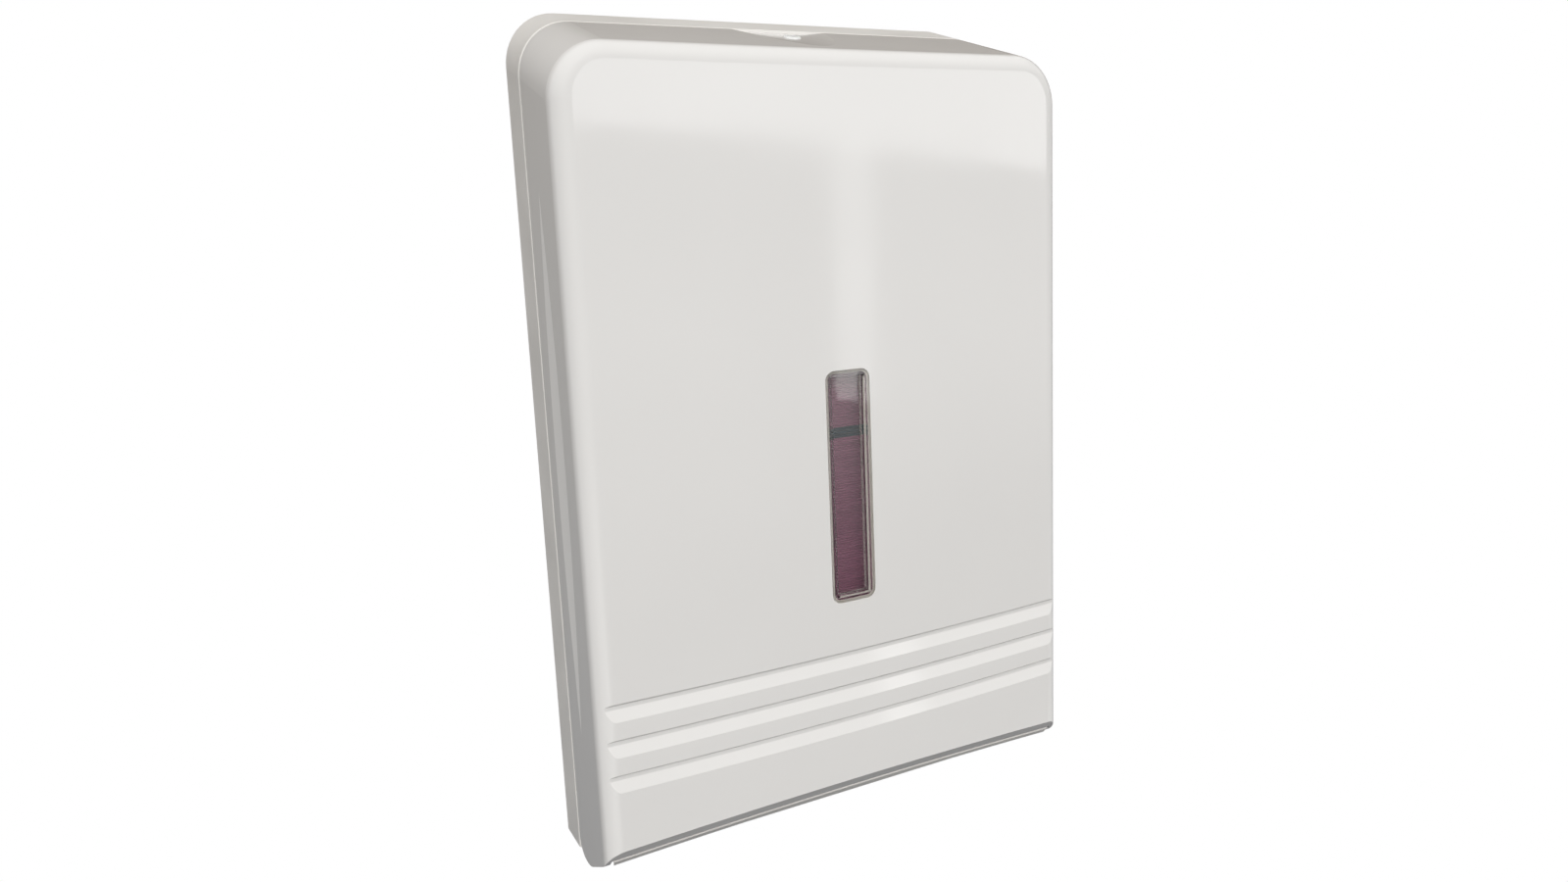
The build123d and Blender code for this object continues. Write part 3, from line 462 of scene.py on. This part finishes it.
def folded_stack(node, layer, looseness, leaf, seed):
    """Stack of folded sheets that fills a node's box: each is a slab with a rolled front and back edge.

    The sheets wander to and fro a little. The top one's leaf covers a share of the depth, from the back.
    """
    low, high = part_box(node)
    size = high - low
    count = max(1, round(size.z / layer))
    layer = size.z / count
    draw = random.Random(seed)
    stack = bmesh.new()
    front = back = looseness / 2
    for number in range(count):
        front = min(looseness, max(0, front + draw.uniform(-SHEET_STEP, SHEET_STEP) * looseness))
        back = min(looseness, max(0, back + draw.uniform(-SHEET_STEP, SHEET_STEP) * looseness))
        inset = draw.uniform(0, looseness)
        if number == count - 1:
            front += size.y * (1 - leaf)
        sheet = bmesh.ops.create_cube(stack, size=1)["verts"]
        spans = Vector((size.x - 2 * inset, size.y - back - front, layer * SHEET_HEIGHT))
        middle = Vector((
            (low.x + high.x) / 2,
            (low.y + high.y + front - back) / 2,
            low.z + (number + 0.5) * layer,
        ))
        bmesh.ops.scale(stack, vec=spans, verts=sheet)
        bmesh.ops.translate(stack, vec=middle, verts=sheet)
        folds = {e for v in sheet for e in v.link_edges if abs(e.verts[0].co.x - e.verts[1].co.x) > size.x / 2}
        bmesh.ops.bevel(
            stack,
            geom=list(folds),
            offset=layer * FOLD_OFFSET,
            segments=2,
            profile=0.5,
            affect="EDGES",
            material=-1,
        )
    return stack


class DISPENSER_OT_towels(bpy.types.Operator):
    """Stack the folded towels and the divider card between their two clips; the card's dark teal is painted shade of
    the shadowed gap between them
    """

    bl_idname = "dispenser.towels"
    bl_label = "Folded towels"

    def execute(self, context):
        finish = context.scene.dispenser_finish
        sizes = context.scene.dispenser_towels
        paper = tissue("mauve_tissue", finish.towel, emboss_mm=3.2, fibre_mm=0.8, band_mm=4.0)
        # Dark teal tissue of the divider: painted shade that stands in for the shadowed gap between the clips
        card = tissue("dark_teal_gap_shade", finish.divider_shade, emboss_mm=5.0, fibre_mm=0.5, band_mm=2.0)
        for seed, (name, node, layer, leaf, material, slot) in enumerate((
            ("lower_towels", "lower_towel_clip", sizes.thickness, WHOLE_LEAF, paper, "towel_paper"),
            ("divider_card_gap_shade", "clip_divider", sizes.card, WHOLE_LEAF, card, "divider_paper"),
            ("upper_towels", "upper_towel_clip", sizes.thickness, LOOSE_LEAF, paper, "towel_paper"),
        )):
            stack = folded_stack(node, layer, sizes.looseness, leaf, seed)
            add_piece(stack, name, "base", node, material)
        return {"FINISHED"}


class DISPENSER_OT_hinge(bpy.types.Operator):
    """Finish the hinge pins in ground steel and their bushes in nylon"""

    bl_idname = "dispenser.hinge"
    bl_label = "Hinge"

    def execute(self, context):
        finish = context.scene.dispenser_finish
        steel = worked_steel("ground_steel", finish.steel, roughness=0.28, stretch=(1, 0.1, 0.1), line_mm=0.6)
        paint(["left_hinge_pin", "right_hinge_pin"], steel)
        paint(["left_hinge_bush", "right_hinge_bush"], plain_plastic("natural_nylon", finish.nylon, **NYLON))
        return {"FINISHED"}


class DISPENSER_OT_lock(bpy.types.Operator):
    """Finish the lock's barrel, sleeve, hook cam and keeper"""

    bl_idname = "dispenser.lock"
    bl_label = "Lock"

    def execute(self, context):
        finish = context.scene.dispenser_finish
        zinc = worked_steel("pressed_zinc_steel", finish.zinc, roughness=0.36, stretch=(0.15, 1, 1), line_mm=0.7)
        paint(["lock_barrel"], plain_plastic("grey_acetal", finish.barrel, roughness=0.36, ior=1.48))
        paint(["lock_sleeve"], plain_plastic("sleeve_nylon", finish.nylon, **NYLON))
        paint(["hook_cam", "lock_keeper"], zinc)
        return {"FINISHED"}


def lock_point(across, up_slope, along):
    """Point in the lock's own axes: across, up the slope to the wall, and along the lock's axis."""
    return LOCK_PLACE + across * ACROSS + up_slope * LOCK_AXIS.cross(ACROSS) + along * LOCK_AXIS


def pan_screw(length, head):
    """Pan-head screw with a cross recess. Its head stands on the origin and its shank goes down to a point."""
    screw = bmesh.new()
    outline = [(head * radius, HEAD_HEIGHT * height) for radius, height in HEAD_OUTLINE]
    outline += [(SHANK_RADIUS, 0), (SHANK_RADIUS, -length * STRAIGHT_SHANK), (0, -length)]
    corners = [screw.verts.new((radius, 0, height)) for radius, height in outline]
    sides = [screw.edges.new(pair) for pair in zip(corners, corners[1:])]
    bmesh.ops.spin(
        screw,
        geom=corners + sides,
        cent=(0, 0, 0),
        axis=(0, 0, 1),
        angle=2 * pi,
        steps=SCREW_SIDES,
        use_merge=True,
    )
    bmesh.ops.remove_doubles(screw, verts=screw.verts, dist=MERGE_DISTANCE)
    rim = [edge for edge in screw.edges if edge.is_boundary]
    reach, slot = head * RECESS_REACH, head * RECESS_SLOT
    arms = []
    for quarter in range(4):
        turn = Matrix.Rotation(quarter * pi / 2, 3, "Z")
        for x, y in ((reach, -slot), (reach, slot), (slot, slot)):
            arms.append(screw.verts.new(turn @ Vector((x, y, HEAD_HEIGHT))))
    cross = [screw.edges.new(pair) for pair in zip(arms, arms[1:] + arms[:1])]
    bmesh.ops.subdivide_edges(screw, edges=cross, cuts=1)
    cross = [edge for edge in screw.edges if edge.is_wire]
    bmesh.ops.bridge_loops(screw, edges=rim + cross)
    recess = bmesh.ops.contextual_create(screw, geom=cross)["faces"]
    sunk = bmesh.ops.extrude_discrete_faces(screw, faces=recess)["faces"][0].verts
    bmesh.ops.scale(screw, vec=(RECESS_TAPER, RECESS_TAPER, 1), verts=sunk)
    bmesh.ops.translate(screw, vec=(0, 0, -HEAD_HEIGHT * RECESS_DEPTH), verts=sunk)
    bmesh.ops.recalc_face_normals(screw, faces=screw.faces)
    return screw


def placed_screws(places, axis, length, head):
    """Screws at places in millimetres, with their heads facing along an axis."""
    group = bmesh.new()
    facing = Vector(axis).to_track_quat("Z", "Y").to_matrix().to_4x4()
    for place in places:
        screw = pan_screw(length, head)
        stand = Matrix.Scale(MM, 4) @ Matrix.Translation(place) @ facing
        bmesh.ops.transform(screw, matrix=stand, verts=screw.verts)
        single = bpy.data.meshes.new("screw")
        screw.to_mesh(single)
        screw.free()
        group.from_mesh(single)
        bpy.data.meshes.remove(single)
    return group


# Where the screws' heads rest, in millimetres
TRAY_SCREWS = [(side * 117.0, -20.0, -184.0) for side in (-1, 1)]
GUIDE_SCREWS = [(side * 119.25, -7.5, height) for side in (-1, 1) for height in (-115.0, 85.0)]
SLEEVE_SCREWS = [lock_point(side * 10.5, 0, -9.5) for side in (-1, 1)]
KEEPER_SCREWS = [lock_point(-7.1, up_slope, -5.0) for up_slope in (24.5, 30.5)]
CAM_SCREW = [lock_point(0, 0, -16.0)]

# Piece, node, body, places, the way the heads face, and the shank's length and the head's radius in millimetres
SCREW_GROUPS = (
    ("tray_pan_screws", "tray_screws", "base", TRAY_SCREWS, (0, 0, 1), 9.0, HEAD_RADIUS),
    ("guide_pan_screws", "guide_screws", "base", GUIDE_SCREWS, (0, -1, 0), 6.0, HEAD_RADIUS),
    ("sleeve_pan_screws", "sleeve_screws", "cover", SLEEVE_SCREWS, -LOCK_AXIS, 5.0, HEAD_RADIUS),
    ("keeper_pan_screws", "keeper_screws", "base", KEEPER_SCREWS, -LOCK_AXIS, 4.0, HEAD_RADIUS),
    ("cam_pan_screw", "cam_screw", "lock", CAM_SCREW, -LOCK_AXIS, 7.0, CAM_HEAD_RADIUS),
)


class DISPENSER_OT_screws(bpy.types.Operator):
    """Make the small pan-head screws in bright zinc"""

    bl_idname = "dispenser.screws"
    bl_label = "Screws"

    def execute(self, context):
        colour = context.scene.dispenser_finish.zinc
        zinc = worked_steel("zinc_screw_steel", colour, roughness=0.32, stretch=(1, 1, 1), line_mm=0.5)
        for name, node, body, places, axis, length, head in SCREW_GROUPS:
            add_piece(placed_screws(places, axis, length, head), name, body, node, zinc)
        return {"FINISHED"}


def softbox(name, place, aim, width, height, power, roll=0.0):
    """Rectangular soft light at a place, aimed at a point and rolled about its own axis."""
    lamp = bpy.data.lights.new(name, "AREA")
    lamp.shape = "RECTANGLE"
    lamp.size = width
    lamp.size_y = height
    lamp.energy = power
    obj = link(bpy.data.objects.new(name, lamp))
    obj.location = place
    aimed = (Vector(aim) - Vector(place)).to_track_quat("-Z", "Y").to_matrix()
    obj.rotation_euler = (aimed @ Matrix.Rotation(roll, 3, "Z")).to_euler()


def flat_square(name, side, matrix):
    """Level square about the origin, put in its place by a matrix."""
    mesh = bpy.data.meshes.new(name)
    shape = bmesh.new()
    bmesh.ops.create_grid(shape, x_segments=1, y_segments=1, size=side / 2, matrix=matrix)
    shape.to_mesh(mesh)
    shape.free()
    return link(bpy.data.objects.new(name, mesh))


class DISPENSER_OT_stage(bpy.types.Operator):
    """Set up the pale floor, the soft studio light and the camera"""

    bl_idname = "dispenser.stage"
    bl_label = "Studio"

    def execute(self, context):
        scene = context.scene
        sizes = scene.dispenser_stage
        self.add_floor(sizes)
        self.add_world(scene, sizes)
        softbox("upper_softbox", *UPPER_SOFTBOX, sizes.upper, UPPER_ROLL)
        softbox("strip_softbox", *STRIP_SOFTBOX, sizes.strip)
        grey, foot = sizes.card_colour, sizes.foot_colour
        self.add_card("back_card", *BACK_CARD, foot, grey)
        self.add_card("low_card", *LOW_CARD, foot, foot)
        self.add_card("front_card", *FRONT_CARD, foot * FRONT_FOOT, WHITE[:3])
        self.add_camera(scene)
        scene.view_settings.view_transform = "Standard"
        return {"FINISHED"}

    def add_floor(self, sizes):
        """Pale floor well below the dispenser, which hangs on a wall."""
        middle = Vector((0, 0, CAD_BOX[0].z - sizes.floor_drop))
        floor = flat_square("floor", sizes.floor_size, Matrix.Translation(middle))
        material, tree, surface, place = new_material("pale_studio_floor")
        mottle = noise(tree, place, size_mm=500, detail=2.0)
        tint = mixed(tree, mottle, shade(sizes.floor_colour, 0.97), shade(sizes.floor_colour, 1.03))
        paper = principled(tree, {"Base Color": tint, "Roughness": 0.9})
        away = add_node(tree, "ShaderNodeVectorMath", {0: place, 1: middle}, operation="DISTANCE")
        share = between(tree, away.outputs["Value"], FLOOR_WHITE, 1.0, FLOOR_MIDDLE, sizes.floor_size / 2)
        self.show_white(tree, paper, surface, share)
        floor.data.materials.append(material)

    def add_card(self, name, place, width, height, lean, low, high):
        """Card that only gloss and glass see, so that they don't mirror white all round.

        It lies flat at a lean of 0 degrees and stands at 90. Its colour goes from low at its foot to high at its top.
        """
        spread = Matrix.Rotation(radians(lean), 4, "X") @ Matrix.Diagonal((width, height, 1, 1))
        card = flat_square(name, 1, Matrix.Translation(place) @ spread)
        material, tree, surface, point = new_material(name)
        level = add_node(tree, "ShaderNodeSeparateXYZ", {"Vector": point}).outputs["Z"]
        start, end = (place[2] + height * share for share in CARD_FADE)
        rise = between(tree, level, 0.0, 1.0, start, end, interpolation_type="SMOOTHSTEP")
        tone = mixed(tree, rise, (*low, 1), (*high, 1))
        glow = add_node(tree, "ShaderNodeEmission", {"Color": tone, "Strength": 1.0})
        tree.links.new(glow.outputs["Emission"], surface)
        card.data.materials.append(material)
        card.visible_camera = False
        card.visible_diffuse = False
        card.visible_shadow = False

    def add_world(self, scene, sizes):
        """Soft light, strongest from the upper front, seen as white by the camera and in gloss and glass."""
        world = bpy.data.worlds.new("studio")
        world.use_nodes = True
        tree = world.node_tree
        tree.nodes.clear()
        direction = add_node(tree, "ShaderNodeTexCoord", {}).outputs["Generated"]
        total = sizes.ambient
        for (axis, sharpness), strength in (
            (KEY_LIGHT, sizes.key),
            (RIGHT_LIGHT, sizes.fill),
            (LEFT_LIGHT, sizes.fill),
            (BACK_LIGHT, sizes.back),
        ):
            facing = add_node(tree, "ShaderNodeVectorMath", {0: direction, 1: axis}, operation="DOT_PRODUCT")
            near = calculate(tree, "MAXIMUM", facing.outputs["Value"], 0.0)
            lobe = calculate(tree, "POWER", near, sharpness)
            total = calculate(tree, "MULTIPLY_ADD", lobe, strength, total)
        soft = add_node(tree, "ShaderNodeBackground", {"Color": WHITE, "Strength": total})
        output = add_node(tree, "ShaderNodeOutputWorld", {})
        self.show_white(tree, soft.outputs["Background"], output.inputs["Surface"], 1.0, "ShaderNodeBackground")
        scene.world = world

    def show_white(self, tree, shader, surface, share, white_kind="ShaderNodeEmission"):
        """Shows camera, glossy and transmission rays a share of plain white in a surface."""
        path = add_node(tree, "ShaderNodeLightPath", {})
        seen = path.outputs["Is Camera Ray"]
        for ray in ("Is Glossy Ray", "Is Transmission Ray"):
            seen = calculate(tree, "MAXIMUM", seen, path.outputs[ray])
        part = calculate(tree, "MULTIPLY", seen, share)
        white = add_node(tree, white_kind, {"Color": WHITE, "Strength": 1.0})
        mix = add_node(tree, "ShaderNodeMixShader", {0: part, 1: shader, 2: white.outputs[0]})
        tree.links.new(mix.outputs[0], surface)

    def add_camera(self, scene):
        """Camera at the photograph's viewing angle, with its picture's centre."""
        data = bpy.data.cameras.new("camera")
        data.sensor_width = CAMERA_SENSOR
        data.lens = CAMERA_FOCAL_PIXELS / PHOTO_WIDTH * data.sensor_width
        data.shift_x = (PHOTO_WIDTH / 2 - CAMERA_CENTRE_PIXELS[0]) / PHOTO_WIDTH
        data.shift_y = (CAMERA_CENTRE_PIXELS[1] - PHOTO_HEIGHT / 2) / PHOTO_WIDTH
        data.clip_start, data.clip_end = CAMERA_CLIP
        camera = link(bpy.data.objects.new("camera", data))
        camera.location = CAMERA_PLACE
        camera.rotation_euler = Euler([radians(angle) for angle in CAMERA_TURN], "XYZ")
        scene.camera = camera


SETTINGS = {
    "dispenser_finish": DispenserFinish,
    "dispenser_towels": DispenserTowels,
    "dispenser_stage": DispenserStage,
}
OPERATORS = (
    DISPENSER_OT_cover,
    DISPENSER_OT_housing,
    DISPENSER_OT_window,
    DISPENSER_OT_towels,
    DISPENSER_OT_hinge,
    DISPENSER_OT_lock,
    DISPENSER_OT_screws,
    DISPENSER_OT_stage,
)


class DISPENSER_PT_panel(bpy.types.Panel):
    """Pieces, finishes and studio of the dispenser"""

    bl_label = "Paper towel dispenser"
    bl_idname = "DISPENSER_PT_panel"
    bl_space_type = "VIEW_3D"
    bl_region_type = "UI"
    bl_category = "Dispenser"

    def draw(self, context):
        for group in SETTINGS:
            box = self.layout.box()
            settings = getattr(context.scene, group)
            for name in settings.bl_rna.properties.keys():
                if name not in ("rna_type", "name"):
                    box.prop(settings, name)
        for operator in OPERATORS:
            self.layout.operator(operator.bl_idname)


CLASSES = (*SETTINGS.values(), *OPERATORS, DISPENSER_PT_panel)


def register():
    """Adds the settings, operators and panel."""
    for cls in CLASSES:
        bpy.utils.register_class(cls)
    for name, group in SETTINGS.items():
        setattr(bpy.types.Scene, name, PointerProperty(type=group))


def unregister():
    """Takes the settings, operators and panel away."""
    for name in SETTINGS:
        delattr(bpy.types.Scene, name)
    for cls in reversed(CLASSES):
        bpy.utils.unregister_class(cls)


def main():
    """Makes every piece and the studio."""
    register()
    for operator in OPERATORS:
        family, action = operator.bl_idname.split(".")
        getattr(getattr(bpy.ops, family), action)()


if __name__ == "__main__":
    main()
